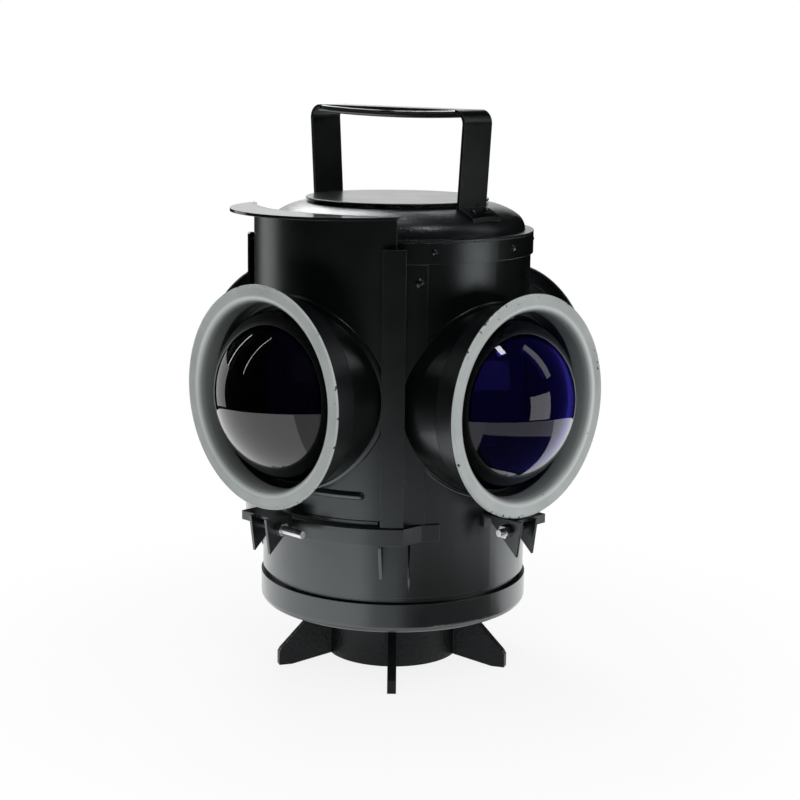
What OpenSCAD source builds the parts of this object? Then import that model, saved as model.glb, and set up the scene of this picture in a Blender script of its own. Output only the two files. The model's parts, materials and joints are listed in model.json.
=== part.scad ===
// Railway switch lamp: a sheet-metal drum on a five-legged cast base, with four hooded
// bull's-eye lenses, a lift-up lens door, a domed vented lid, a strip handle and an oil burner.
// Millimetres, +Z up. The origin is on the ground under the lamp's axis.
// The door faces -Y, and the other three lenses face +X, +Y and -X.

/* [Base] */
// Height of the base pan's underside above the ground
base_h = 44.5; // [36:0.5:60]
// Radius of the cast hub
hub_r = 46; // [38:0.5:55]
// Gap between the hub's underside and the ground
hub_clear = 6; // [3:0.5:10]
// Radius of the socket that goes over the switch stand's spindle
socket_r = 21; // [15:0.5:28]
// Number of cast legs
leg_count = 5; // [4:1:6]
// Reach of a leg from the lamp's axis
leg_reach = 83; // [72:0.5:95]
// Thickness of a leg
leg_t = 6; // [4:0.5:9]
// Height of a leg's tip
leg_tip_h = 10; // [6:0.5:14]
// Length of the flat foot under a leg's tip
foot_len = 9; // [6:0.5:14]
// Height of the base pan
pan_h = 20; // [14:0.5:28]
// Rounding of the base pan's lower edge
pan_round = 5; // [2:0.5:8]
// Width by which the base pan stands proud of the drum
pan_proud = 1.3; // [0.8:0.1:4]
// Height of the shadow groove between the pan and the drum
groove_h = 4; // [2:0.5:7]

/* [Drum] */
// Outer radius of the drum
body_r = 91; // [84:0.5:100]
// Thickness of the sheet metal
sheet = 1.5; // [1:0.1:2]
// Height of the lid's ledge above the ground
ledge_z = 303; // [296:0.5:320]
// Width of the doorway behind the lens door
doorway_w = 112; // [80:1:120]
// Height of the doorway
doorway_h = 150; // [130:1:152]

/* [Lid] */
// Height of the lid's skirt
skirt_h = 15; // [10:0.5:20]
// Width of the flat ledge round the dome
ledge_w = 5.8; // [3:0.2:9]
// Rise of the dome above the ledge
dome_rise = 17.5; // [16:0.5:22]
// Run of the dome's rounded shoulder
dome_run = 29.5; // [26:0.5:36]
// Rounding of the dome's outer edge
shoulder_r = 12; // [9:0.5:14]
// Radius of the flat vent cap
cap_r = 62; // [50:0.5:66]
// Thickness of the vent cap
cap_t = 1.6; // [1:0.1:3]
// Air gap under the vent cap
cap_gap = 1.5; // [1:0.1:4]
// Radius of the vent hole under the cap
vent_r = 28; // [15:0.5:36]

/* [Handle] */
// Height of the handle's top above the dome
handle_rise = 63; // [52:0.5:80]
// Distance of a handle leg from the axis, at its foot
handle_foot_x = 69; // [67:0.5:72]
// Distance of a handle leg from the axis, at the grip
handle_top_x = 73; // [70:0.5:80]
// Width of the handle strip
handle_w = 26; // [20:0.5:32]
// Thickness of the handle strip
handle_t = 2.2; // [1.6:0.1:3]
// Outer rounding of the handle's corners
handle_round = 9; // [5:0.5:14]
// Length of the foot that lies on the dome
handle_foot = 13; // [10:0.5:15]
// Radius of the rolled edges along the grip
roll_r = 2.4; // [1.8:0.1:3]
// Dip of the rolled edges at the middle of the grip
roll_dip = 1.7; // [0.5:0.1:1.9]

/* [Lens units] */
// Height of the lens axes above the ground
lens_z = 196.5; // [193:0.5:203]
// Height of the door's lens above the other three
door_lens_up = 3.8; // [0:0.2:6]
// Reach of a hood's mouth beyond the drum
hood_reach = 32; // [26:0.5:40]
// Inner radius of a hood's tube
tube_r = 61; // [57:0.5:62.5]
// Radius of the bezel's flare, from its throat to its face
flare_r = 5.5; // [4:0.5:7]
// Depth of the bezel's throat behind its face
throat_d = 14; // [11:0.5:16]
// Width of the bezel's flat face
face_w = 5.2; // [3:0.2:6]
// Radius of the rolled bead on the rim
bead_r = 1.3; // [1:0.1:1.6]
// Length of the bezel's sleeve over the tube
sleeve_len = 9; // [6:0.5:12]
// Radius of the lens dome
lens_r = 53.5; // [48:0.5:55]
// Distance of the lens's edge behind the mouth
lens_set = 23.7; // [20:0.1:24.5]
// Depth of the dome's centre behind the lens's edge
lens_sink = 9.3; // [4:0.1:14]
// Thickness of the glass
lens_t = 5.5; // [4:0.5:8]
// Thickness of the lens's edge flange
flange_t = 3; // [2:0.2:4]
// Width of the lens's edge flange
flange_w = 4; // [3:0.2:5]
// Thickness of the lens gasket
gasket_t = 0.8; // [0.5:0.1:1.5]
// Width of a lens clip
clip_w = 8; // [5:0.5:12]
// Thickness of a lens clip
clip_t = 1.4; // [1:0.1:2]
// Length of a clip's leg along the tube
clip_leg = 7; // [4:0.5:8]

/* [Door] */
// Half the angle that the door spans
door_half = 45; // [43:0.5:46]
// Gap between the drum and the door's inside
door_gap = 4.2; // [3.8:0.1:6]
// Height of the door's lower edge above the ground
door_z = 122; // [121:0.5:126]
// Height of the door's top edge above the lid's ledge
door_over = 15.5; // [8:0.5:20]
// Radius of the wired edge down each side of the door
wire_r = 2; // [1.5:0.1:2.4]
// Reach of the crescent lip beyond the door
lip_reach = 28; // [20:1:40]
// Radius of the crescent lip's edge
lip_r = 74; // [72:1:90]
// Thickness of the crescent lip
lip_t = 2; // [1.5:0.1:3]
// Height of the pressed rib above the door's lower edge
rib_up = 16; // [10:0.5:20]
// Radius of the pressed rib
rib_r = 2.8; // [1.5:0.1:4]
// Half the angle that the pressed rib spans
rib_half = 32; // [24:1:36]

/* [Guides] */
// Thickness of the guide strip
guide_t = 1.5; // [1:0.1:2]
// Angle by which a guide's lip reaches over the door
guide_over = 5; // [3:0.5:5]
// Angle between the door's edge and the guide's wall
guide_slack = 2.5; // [2:0.1:3]
// Angle that a guide's flange spans on the drum
flange_span = 10; // [6:0.5:12]
// Height of a guide above the foot of the lid's skirt
guide_over_skirt = 10; // [4:0.5:14]
// Radius of a guide rivet's head
rivet_r = 3.2; // [2:0.1:4]
// Distance of a guide rivet below the lid's skirt
rivet_drop = 12; // [8:0.5:16]

/* [Strap] */
// Height of the strap across the foot of the door
strap_h = 11; // [8:0.5:14]
// Distance of the strap's top edge below the door's lower edge
strap_drop = 4; // [3.4:0.2:8]
// Gap between the drum and the strap's inside
strap_gap = 10.5; // [10:0.5:13]
// Angle that the slanting end of the strap spans
strap_slant = 7.5; // [5:0.5:10]
// Angle that the strap's tab spans on the drum
strap_tab = 8; // [5:0.5:10]
// Drop of the gussets below the strap
gusset_h = 26; // [15:1:34]
// Thickness of the gussets and of the sill under the door
gusset_t = 2; // [1.5:0.1:3]

/* [Brackets] */
// Distance between the two ears of a bracket
ear_gap = 13; // [10:0.5:18]
// Thickness of an ear
ear_t = 2; // [1.5:0.1:3]
// Reach of an ear beyond the drum
ear_reach = 33; // [30:0.5:34]
// Height of the brackets' top above the strap's top edge
ear_up = 3.5; // [0:0.5:4]
// Height of an ear at its outer end
ear_h = 24; // [20:0.5:28]
// Width of an ear at its top
ear_w = 25; // [20:0.5:28]
// Height of the bracket's foot on its wall
ear_foot = 9; // [6:0.5:12]
// Length of the web beyond the outer ear
web_over = 13; // [8:0.5:18]
// Radius of the bracket's bolt
bolt_r = 2.4; // [2:0.1:3]
// Length of the free end on the door's and the rear bolt
bolt_free = 18; // [10:1:24]
// Length of the free end on the two short bolts
bolt_stub = 4; // [2:0.5:8]
// Width of the bolt's nuts across the flats
nut_w = 8; // [7:0.5:10]
// Thickness of a nut
nut_t = 4; // [3:0.5:5]

/* [Oil lamp] */
// Radius of the oil fount
fount_r = 50; // [40:1:58]
// Height of the oil fount
fount_h = 62; // [50:1:70]
// Height of the fount's sloping shoulder
fount_slope_h = 8; // [5:0.5:12]
// Width of the fount's sloping shoulder
fount_slope_w = 14; // [8:0.5:16]
// Thickness of the fount's wall
fount_wall = 1; // [0.8:0.1:1.5]
// Height of the burner above the fount
burner_h = 44; // [36:1:50]
// Width of the flat wick
wick_w = 16; // [12:1:20]
// Thickness of the flat wick
wick_t = 2; // [1.6:0.2:3]
// Radius of the wick wheels
wheel_r = 4; // [3:0.2:5]
// Length of the wick spindle outside the burner
spindle_len = 28; // [22:1:32]
// Radius of the spindle's knob
knob_r = 8; // [6:0.5:10]

/* [Hidden] */
$fn = 96;
// Gap between sheet pieces that are soldered or riveted together
seat = 0.15;
// Running clearance of pieces that slide past each other
slide = 0.4;
// Small overlap that joins the solids of one piece
lap = 0.02;

door_az = -90;
lens_az = [0, 90, 180];

pan_r = body_r + pan_proud;
pan_top = base_h + pan_h;
drum_z = pan_top + groove_h;
spigot_r = body_r - 2;
skirt_r = body_r + seat + sheet;
skirt_z = ledge_z - skirt_h;
dome_r = skirt_r - ledge_w;
flat_r = dome_r - dome_run;
dome_z = ledge_z + dome_rise;
shoulder_x = dome_r - shoulder_r;
crown_r = (pow(shoulder_x - flat_r, 2) + pow(dome_rise, 2) - pow(shoulder_r, 2)) / (2 * (dome_rise - shoulder_r));
crown_z = dome_z - crown_r;
crown_tilt = atan2(shoulder_x - flat_r, ledge_z - crown_z);
cap_z = dome_z + cap_gap;
grip_z = dome_z + handle_rise;
roll_inset = 0.2;

mouth_a = body_r + hood_reach;
tube_out = tube_r + sheet;
tube_end = mouth_a - throat_d - seat;
flare_at = tube_r + flare_r;
rim_r = flare_at + face_w;
lens_back = mouth_a - lens_set;
dome_a = lens_back - lens_sink;
seat_a = lens_back - gasket_t - sheet - 2 * seat;
lens_edge_r = lens_r + flange_w;
clip_a = lens_back + flange_t + seat;

door_in = body_r + door_gap;
door_out = door_in + sheet;
door_top = ledge_z + door_over;
wire_at = door_in + wire_r;
lip_u = door_out + lip_reach - lip_r;

guide_in = wire_at + wire_r + slide;
guide_out = guide_in + guide_t;
guide_wall = door_half + guide_slack;
guide_wall_span = 0.9;
guide_z = door_z - 3.2;
guide_top = skirt_z + guide_over_skirt;

sill_top = door_z - 0.3;
strap_top = door_z - strap_drop;
strap_z = strap_top - strap_h;
strap_in = body_r + strap_gap;
strap_out = strap_in + guide_t;
strap_half = guide_wall + 1;

ear_out = body_r + ear_reach;
ear_top = strap_top + ear_up;
bolt_at = body_r + ear_reach - 11;
bolt_z = ear_top - 0.33 * ear_h;
ear_y = ear_gap / 2 + ear_t;

fount_z = base_h + sheet + 2 * seat + 1;
fount_top = fount_z + fount_h;
burner_z = fount_top + 2 * seat;
burner_top = burner_z + burner_h;
burner_in = 11;
burner_out = 14;
burner_flange = burner_out + 5;
slot_clear = 0.25;
spindle_r = 1.6;
spindle_z = burner_z + 0.45 * burner_h;
spindle_y = wick_t / 2 + wheel_r + slot_clear;

// Shared shapes

// A ring or tube about the lamp's axis
module ring(r0, r1, z0, z1) {
    rotate_extrude() translate([r0, z0]) square([r1 - r0, z1 - z0]);
}

// Part of a ring, between two angles
module sector(r0, r1, z0, z1, a0, a1) {
    rotate([0, 0, a0]) rotate_extrude(angle = a1 - a0) translate([r0, z0]) square([r1 - r0, z1 - z0]);
}

// Children turned so that their own Z runs out along a lens axis, with their own -X up
module on_lens_axis(az) {
    up = az == door_az ? door_lens_up : 0;
    rotate([0, 0, az]) translate([0, 0, lens_z + up]) rotate([0, 90, 0]) children();
}

// A flat plate in the radial plane at an angle, drawn as radius and height
module radial_plate(az, thick) {
    rotate([0, 0, az]) rotate([90, 0, 0]) translate([0, 0, -thick / 2]) linear_extrude(thick) children();
}

// Children at a radius and height, with their own Z pointing away from the axis
module on_wall(az, r, z) {
    rotate([0, 0, az]) translate([r, 0, z]) rotate([0, 90, 0]) children();
}

// A round rivet or screw head of a given height, its flat side at zero
module round_head(r, h) {
    ball = (r * r + h * h) / (2 * h);
    rotate_extrude() intersection() {
        translate([0, h - ball]) circle(ball);
        square([r, h]);
    }
}

// Base

// One leg: a sloping gusset from the pan's underside down to a flat foot
module leg() {
    rotate([90, 0, 0]) translate([0, 0, -leg_t / 2]) linear_extrude(leg_t) polygon([
        [hub_r - 4, base_h - seat], [hub_r + 4, base_h - seat], [leg_reach - 1.5, leg_tip_h + 1.5],
        [leg_reach, leg_tip_h - 1], [leg_reach, 0], [leg_reach - foot_len, 0], [hub_r - 4, hub_clear + 0.6]]);
}

// The cast base: a socketed hub with legs like fins, one of them midway between two lenses
module spider_base() {
    color("#1b1c1e") difference() {
        union() {
            ring(socket_r - lap, hub_r, hub_clear, base_h - seat);
            for (i = [0 : leg_count - 1]) rotate([0, 0, door_az / 2 + i * 360 / leg_count]) leg();
        }
        translate([0, 0, -1]) cylinder(r = socket_r, h = base_h + 2);
    }
}

// The pressed pan that closes the drum from below
module base_pan() {
    color("#222426") rotate_extrude() difference() {
        union() {
            translate([0, base_h]) square([pan_r - pan_round, pan_h]);
            translate([0, base_h + pan_round]) square([pan_r, pan_h - pan_round]);
            translate([pan_r - pan_round, base_h + pan_round]) circle(pan_round);
        }
        translate([-1, base_h + sheet]) square([spigot_r - pan_round + seat + 1, pan_h]);
        translate([0, base_h + sheet + pan_round]) square([spigot_r + seat, pan_h]);
    }
}

// Drum

// A straight doorway with its outline rounded, cut towards the door's side
module doorway() {
    r = 10;
    rotate([0, 0, door_az]) translate([0, 0, door_z + 6]) rotate([90, 0, 90]) linear_extrude(body_r + 5) union() {
        translate([-doorway_w / 2, r]) square([doorway_w, doorway_h - 2 * r]);
        translate([-doorway_w / 2 + r, 0]) square([doorway_w - 2 * r, doorway_h]);
        for (x = [-1, 1], y = [r, doorway_h - r]) translate([x * (doorway_w / 2 - r), y]) circle(r);
    }
}

// The drum: a rolled sheet with a spigot that stands in the pan, three lens ports and a doorway
module body_drum() {
    color("#202224") difference() {
        union() {
            ring(body_r - sheet, body_r, drum_z, ledge_z - sheet - seat);
            ring(spigot_r - sheet, spigot_r, base_h + sheet + pan_round + seat, drum_z + sheet);
            ring(spigot_r - sheet, body_r, drum_z, drum_z + sheet);
        }
        for (az = lens_az) on_lens_axis(az) cylinder(r = tube_r, h = body_r + 5);
        doorway();
    }
}

// Lid and handle

// Whether a radius lies on the dome's gentle crown, inside its rounded shoulder
function on_crown(r, grow) = r < flat_r + (crown_r + grow) * sin(crown_tilt);

// Height of the dome's outside at a radius, thickened by an amount
function dome_height(r, grow) = r < flat_r ? dome_z + grow
    : on_crown(r, grow) ? crown_z + sqrt(pow(crown_r + grow, 2) - pow(r - flat_r, 2))
    : ledge_z + sqrt(pow(shoulder_r + grow, 2) - pow(r - shoulder_x, 2));

// Tilt of the dome's outside at a radius
function dome_tilt(r, grow) = on_crown(r, grow) ? asin((r - flat_r) / (crown_r + grow))
    : asin((r - shoulder_x) / (shoulder_r + grow));

// The dome as a closed revolve of a flat top, a crown arc and a shoulder arc, thickened by an amount
module dome_solid(grow) {
    far = 2 * dome_run;
    ray = [shoulder_x + far * sin(crown_tilt), ledge_z + far * cos(crown_tilt)];
    rotate_extrude() union() {
        translate([0, ledge_z]) square([flat_r, dome_rise + grow]);
        intersection() {
            translate([flat_r, crown_z]) circle(crown_r + grow);
            polygon([[flat_r, ledge_z], [shoulder_x, ledge_z], ray, [flat_r, ledge_z + far]]);
        }
        intersection() {
            translate([shoulder_x, ledge_z]) circle(shoulder_r + grow);
            polygon([[shoulder_x, ledge_z], [shoulder_x + far, ledge_z], [shoulder_x + far, ledge_z + far], ray]);
        }
    }
}

// The band under the lid's ledge that goes over the drum
module lid_skirt() {
    color("#202224") ring(body_r + seat, skirt_r, skirt_z, ledge_z - sheet - seat);
}

// The lid: a flat ledge and a domed top with a vent hole
module lid_dome() {
    color("#26282a") difference() {
        union() {
            ring(dome_r - 2 * sheet, skirt_r, ledge_z - sheet, ledge_z);
            difference() {
                dome_solid(0);
                translate([0, 0, -lap]) dome_solid(-sheet);
            }
        }
        translate([0, 0, ledge_z]) cylinder(r = vent_r, h = dome_rise + 5);
    }
}

// The flat cap that keeps rain out of the vent
module vent_cap() {
    color("#303234") rotate_extrude() union() {
        translate([0, cap_z]) square([cap_r - cap_t / 2, cap_t]);
        translate([cap_r - cap_t / 2, cap_z + cap_t / 2]) circle(cap_t / 2);
    }
}

// Spacer studs between the dome and its cap
module cap_spacers() {
    color("#26282a") for (i = [0 : 2]) rotate([0, 0, 30 + 120 * i])
        translate([(vent_r + flat_r) / 2, 0, dome_z + seat / 2]) cylinder(r = 4, h = cap_gap - seat);
}

// Screws through the lid's skirt, all round except across the door
module lid_screws() {
    color("#3a3c3e") for (az = [-30 : 40 : 210])
        on_wall(az, skirt_r + seat / 2, skirt_z + skirt_h / 2) round_head(2.3, 1.6);
}

// The handle's side view: a strip bent to a U, with a little splay
module handle_outline(inset) {
    top = grip_z - inset;
    bottom = dome_height(handle_foot_x, 0) - 4;
    foot_x = handle_foot_x - inset;
    top_x = handle_top_x - inset;
    r = handle_round - inset;
    union() {
        polygon([[-foot_x, bottom], [foot_x, bottom], [top_x, top - r], [top_x - r, top],
            [r - top_x, top], [-top_x, top - r]]);
        for (x = [-1, 1]) translate([x * (top_x - r), top - r]) circle(r);
    }
}

// The handle strip alone, bent to a U
module handle_strip() {
    inner = handle_foot_x - handle_t;
    rotate([90, 0, 0]) translate([0, 0, -handle_w / 2]) linear_extrude(handle_w) difference() {
        handle_outline(0);
        handle_outline(handle_t);
        translate([-inner, 0]) square([2 * inner, dome_z]);
    }
}

// A rolled edge along the grip, bowed a little so that it dips at the middle
module rolled_edge() {
    half = handle_top_x - handle_round + 2;
    bow = (half * half + roll_dip * roll_dip) / (2 * roll_dip);
    a = asin(half / bow);
    translate([0, 0, grip_z - roll_inset - roll_r - roll_dip + bow]) rotate([90, 0, 0]) rotate([0, 0, -90 - a])
        rotate_extrude(angle = 2 * a, $fn = 1440) translate([bow, 0]) circle(roll_r, $fn = 48);
}

// The handle: a steel strip with rolled grip edges and feet that follow the dome
module handle() {
    half = handle_top_x - handle_round;
    edge_y = handle_w / 2 - roll_r - roll_inset;
    color("#202224") union() {
        difference() {
            handle_strip();
            for (y = [-1, 1]) translate([-half, y * (edge_y + handle_w / 2) - handle_w / 2, grip_z - 2 * handle_t])
                cube([2 * half, handle_w, 3 * handle_t]);
            dome_solid(seat);
        }
        for (y = [-1, 1]) translate([0, y * edge_y, 0]) rolled_edge();
        for (x = [-1, 1]) intersection() {
            difference() {
                dome_solid(seat + handle_t);
                dome_solid(seat);
            }
            translate([x * (handle_foot_x + (handle_foot - handle_t) / 2), 0, dome_z])
                cube([handle_foot + handle_t, handle_w, 2 * dome_rise], center = true);
        }
    }
}

// Round rivet heads that hold the handle's feet
module handle_rivets() {
    head_at = handle_foot_x + 0.55 * handle_foot;
    grow = handle_t + 1.5 * seat;
    spread = asin(handle_w / 4 / head_at);
    color("#2a2c2e") for (az = [0, 180], y = [-1, 1]) rotate([0, 0, az + y * spread])
        translate([head_at, 0, dome_height(head_at, grow)]) rotate([0, dome_tilt(head_at, grow), 0])
            round_head(2.6, 1.8);
}

// Door guides and strap

// Spaces that the hoods' tubes need in pieces that lie against the drum
module tube_cuts(az_list) {
    for (az = az_list) on_lens_axis(az) cylinder(r = tube_out + seat, h = mouth_a);
}

// A guide: a flange on the drum, a wall and a lip over the door's edge, on one side of the door
module guide(side) {
    foot = body_r + seat;
    crest = guide_in + guide_t / 2;
    tuck = 0.1;
    color("#232527") difference() {
        rotate([0, 0, door_az]) scale_side(side) union() {
            sector(guide_in, guide_out, guide_z, guide_top, door_half - guide_over, guide_wall + guide_wall_span + tuck);
            rotate([0, 0, guide_wall]) rotate_extrude(angle = guide_wall_span) polygon([
                [foot + guide_t / 2, guide_z + tuck], [crest, guide_z + tuck], [crest, guide_top - tuck],
                [skirt_r + seat, guide_top - tuck], [skirt_r + seat, skirt_z - 2 * seat],
                [foot + guide_t / 2, skirt_z - 2 * seat]]);
            sector(foot, foot + guide_t, guide_z, skirt_z - seat, guide_wall + tuck, guide_wall + flange_span);
        }
        tube_cuts(lens_az);
    }
}

// Children as drawn on the side of larger angles, or mirrored to the other side
module scale_side(side) {
    if (side > 0) children();
    else mirror([0, 1, 0]) children();
}

module guide_right() { guide(1); }
module guide_left() { guide(-1); }

// Rivets through the guides' flanges, above the lens hoods
module guide_rivets() {
    az = guide_wall + guide_wall_span + 0.62 * (flange_span - guide_wall_span);
    color("#34363a") for (side = [-1, 1])
        on_wall(door_az + side * az, body_r + 1.5 * seat + guide_t, skirt_z - rivet_drop) round_head(rivet_r, 1.5);
}

// A point at a radius and an angle
function polar(r, a) = [r * cos(a), r * sin(a)];

// Part of a flat ring between two angles, drawn in plan
module arc_strip(r0, r1, a0, a1) {
    far = 2 * r1;
    mid = (a0 + a1) / 2;
    intersection() {
        difference() {
            circle(r1);
            circle(r0);
        }
        polygon([[0, 0], polar(far, a0), polar(far, mid), polar(far, a1)]);
    }
}

// The strap that keeps the foot of the door: a band, slanting ends and tabs on the drum
module door_strap() {
    a1 = strap_half;
    a2 = strap_half + strap_slant;
    tab_in = body_r + seat;
    tab_out = tab_in + guide_t;
    color("#232527") rotate([0, 0, door_az]) translate([0, 0, strap_z]) linear_extrude(strap_h) union() {
        arc_strip(strap_in, strap_out, -a1, a1);
        for (side = [-1, 1]) scale_side(side) {
            polygon([polar(strap_in + 0.3, a1 - 0.5), polar(strap_out - 0.2, a1 - 0.5), polar(tab_out - 0.2, a2 + 0.5),
                polar(tab_in + 0.3, a2 + 0.5)]);
            arc_strip(tab_in, tab_out, a2, a2 + strap_tab);
        }
    }
}

// Triangular gussets that carry the strap
module strap_gussets() {
    z = strap_z - seat;
    color("#232527") rotate([0, 0, door_az]) for (side = [-1, 1])
        radial_plate(side * (door_half - guide_over), gusset_t)
            polygon([[body_r + seat, z], [strap_out, z], [strap_out, z - 1.5], [body_r + seat, z - gusset_h]]);
}

// The sill that the door stands on
module door_sill() {
    a = door_half - guide_over - 1;
    color("#1d1f21") rotate([0, 0, door_az])
        sector(body_r + seat, door_out + 0.6, sill_top - gusset_t, sill_top, -a, a);
}

// Lens units

// The black tube of a hood, fitted to a round wall
module hood(az, wall_r) {
    color("#1e2022") difference() {
        on_lens_axis(az) translate([0, 0, wall_r / 2]) difference() {
            cylinder(r = tube_out, h = tube_end - wall_r / 2);
            translate([0, 0, -1]) cylinder(r = tube_r, h = mouth_a);
        }
        translate([0, 0, lens_z - 2 * tube_r]) cylinder(r = wall_r + seat, h = 4 * tube_r);
    }
}

// The pale bezel: a sleeve over the tube, a flared throat, a flat face and a rolled bead
module bezel(az) {
    throat_a = mouth_a - throat_d;
    sleeve_in = tube_out + seat;
    sleeve_out = sleeve_in + sheet;
    color("#b9bdbb") on_lens_axis(az) rotate_extrude() union() {
        difference() {
            union() {
                translate([tube_r, throat_a]) square([rim_r - tube_r, throat_d - flare_r]);
                translate([flare_at, throat_a]) square([face_w, throat_d]);
                translate([flare_at, mouth_a - flare_r]) circle(flare_r);
            }
            translate([sleeve_out, throat_a - 1]) square([rim_r, throat_d - flare_r + 1]);
            translate([flare_at, throat_a - 1]) square([rim_r, throat_d + 1 - sheet]);
            translate([flare_at, mouth_a - flare_r]) circle(flare_r - sheet);
        }
        translate([sleeve_in, tube_end - sleeve_len]) square([sheet, sleeve_len + 2 * seat]);
        translate([rim_r, mouth_a - bead_r + seat]) circle(bead_r);
    }
}

// The plate inside a hood that the lens is bedded on
module lens_seat(az) {
    color("#18191b") on_lens_axis(az) rotate_extrude()
        translate([lens_r - 2, seat_a]) square([tube_r - seat - lens_r + 2, sheet]);
}

// The gasket ring between the seat and the glass
module gasket(az) {
    color("#101010") on_lens_axis(az) rotate_extrude()
        translate([lens_r - 1, seat_a + sheet + seat]) square([flange_w + 1, gasket_t]);
}

// The bull's-eye lens: a hollow glass dome with a flat edge flange
module lens(az, tint) {
    color(tint) on_lens_axis(az) rotate_extrude() difference() {
        union() {
            intersection() {
                translate([0, dome_a]) circle(lens_r);
                translate([0, lens_back]) square([lens_r, lens_r + 2]);
            }
            translate([0, lens_back]) square([lens_edge_r, flange_t]);
        }
        translate([0, dome_a - 1]) circle(lens_r - lens_t);
    }
}

// Three bent clips that hold the lens, one at the top
module clips(az) {
    reach = tube_r - seat - lens_r - 1.2;
    color("#1a1b1d") on_lens_axis(az) intersection() {
        for (i = [0 : 2]) rotate([0, 0, 180 + 120 * i]) union() {
            translate([tube_r - seat - reach, -clip_w / 2, clip_a]) cube([reach, clip_w, clip_t]);
            translate([tube_r - seat - 2.2, -clip_w / 2, clip_a]) cube([2.2, clip_w, clip_leg]);
        }
        cylinder(r = tube_r - seat, h = mouth_a);
    }
}

clear_glass = "#3c4044";
violet_glass = "#2a2470";

module right_hood() { hood(lens_az[0], body_r); }
module right_bezel() { bezel(lens_az[0]); }
module right_lens_seat() { lens_seat(lens_az[0]); }
module right_gasket() { gasket(lens_az[0]); }
module right_lens() { lens(lens_az[0], violet_glass); }
module right_clips() { clips(lens_az[0]); }
module rear_hood() { hood(lens_az[1], body_r); }
module rear_bezel() { bezel(lens_az[1]); }
module rear_lens_seat() { lens_seat(lens_az[1]); }
module rear_gasket() { gasket(lens_az[1]); }
module rear_lens() { lens(lens_az[1], clear_glass); }
module rear_clips() { clips(lens_az[1]); }
module left_hood() { hood(lens_az[2], body_r); }
module left_bezel() { bezel(lens_az[2]); }
module left_lens_seat() { lens_seat(lens_az[2]); }
module left_gasket() { gasket(lens_az[2]); }
module left_lens() { lens(lens_az[2], violet_glass); }
module left_clips() { clips(lens_az[2]); }
module door_hood() { hood(door_az, door_out); }
module door_bezel() { bezel(door_az); }
module door_lens_seat() { lens_seat(door_az); }
module door_gasket() { gasket(door_az); }
module door_lens() { lens(door_az, clear_glass); }
module door_clips() { clips(door_az); }

// Door

// The sliding door: a curved panel with a port, a pressed rib and a wired edge down each side
module door_panel() {
    color("#212325") difference() {
        rotate([0, 0, door_az]) union() {
            sector(door_in, door_out, door_z, door_top, -door_half, door_half);
            for (side = [-1, 1]) rotate([0, 0, side * door_half]) translate([wire_at, 0, door_z])
                cylinder(r = wire_r, h = guide_top - 4 - door_z);
            difference() {
                union() {
                    rotate([0, 0, -rib_half]) rotate_extrude(angle = 2 * rib_half)
                        translate([door_out - 0.6, door_z + rib_up]) circle(rib_r);
                    for (side = [-1, 1]) rotate([0, 0, side * rib_half])
                        translate([door_out - 0.6, 0, door_z + rib_up]) sphere(rib_r);
                }
                translate([0, 0, door_z]) cylinder(r = door_in + sheet / 2, h = 2 * rib_up);
            }
        }
        on_lens_axis(door_az) cylinder(r = tube_out + seat, h = mouth_a);
    }
}

// The crescent lip by which the door is lifted
module door_lip() {
    color("#2a2c2e") rotate([0, 0, door_az]) translate([0, 0, door_top - lip_t]) linear_extrude(lip_t) difference() {
        translate([lip_u, 0]) circle(lip_r);
        circle(door_out + seat);
        translate([-2 * body_r, -2 * body_r]) square([2 * body_r + lip_u, 4 * body_r]);
    }
}

// Target brackets

// Neighbouring brackets are opposite hands: 1 for the door's and the rear one, -1 for the other two
function bracket_hand(az) = az == door_az || az == lens_az[1] ? 1 : -1;

// A bracket under a lens: two ears that hang from a web, with a foot fitted to a round wall
module bracket(az, wall_r) {
    face = wall_r + seat;
    web_end = ear_out - 4;
    color("#1f2123") rotate([0, 0, az]) scale_side(bracket_hand(az)) difference() {
        union() {
            for (side = [-1, 1]) translate([0, side * (ear_gap + ear_t) / 2, 0]) radial_plate(0, ear_t) polygon([
                [ear_out - ear_w, ear_top], [ear_out + 1, ear_top], [ear_out - 2.5, ear_top - ear_h],
                [ear_out - ear_w, ear_top - 2 * ear_t]]);
            translate([face - 3, -ear_y - web_over, ear_top - ear_t])
                cube([web_end - face + 3, 2 * ear_y + web_over, ear_t]);
            translate([face - 3, -ear_y, ear_top - ear_foot]) cube([3 + ear_t, 2 * ear_y, ear_foot]);
            translate([web_end - ear_t, -ear_y - web_over, ear_top - 3 * ear_t]) cube([ear_t, web_over, 3 * ear_t]);
        }
        translate([0, 0, ear_top - 2 * ear_h]) cylinder(r = face, h = 3 * ear_h);
        translate([bolt_at, 0, bolt_z]) rotate([90, 0, 0])
            cylinder(r = bolt_r + seat, h = 4 * ear_gap, center = true);
    }
}

module door_bracket() { bracket(door_az, strap_out); }
module right_bracket() { bracket(lens_az[0], body_r); }
module rear_bracket() { bracket(lens_az[1], body_r); }
module left_bracket() { bracket(lens_az[2], body_r); }

// A hexagon prism along Z
module hexagon(w, h) {
    cylinder(d = w / cos(30), h = h, $fn = 6);
}

// One bolt: a hexagon head against one ear and a free end past the other
module bolt(free) {
    head = 3.5;
    length = 2 * ear_y + 2 * seat + nut_t + free;
    translate([bolt_at, ear_y + seat, bolt_z]) rotate([90, 0, 0]) union() {
        translate([0, 0, -head]) hexagon(nut_w, head);
        translate([0, 0, -lap]) cylinder(r = bolt_r, h = length);
    }
}

// Bolts through the brackets' ears
module bracket_bolts() {
    color("#c9ccce") for (az = concat(door_az, lens_az)) rotate([0, 0, az]) scale_side(-bracket_hand(az))
        bolt(bracket_hand(az) > 0 ? bolt_free : bolt_stub);
}

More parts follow.
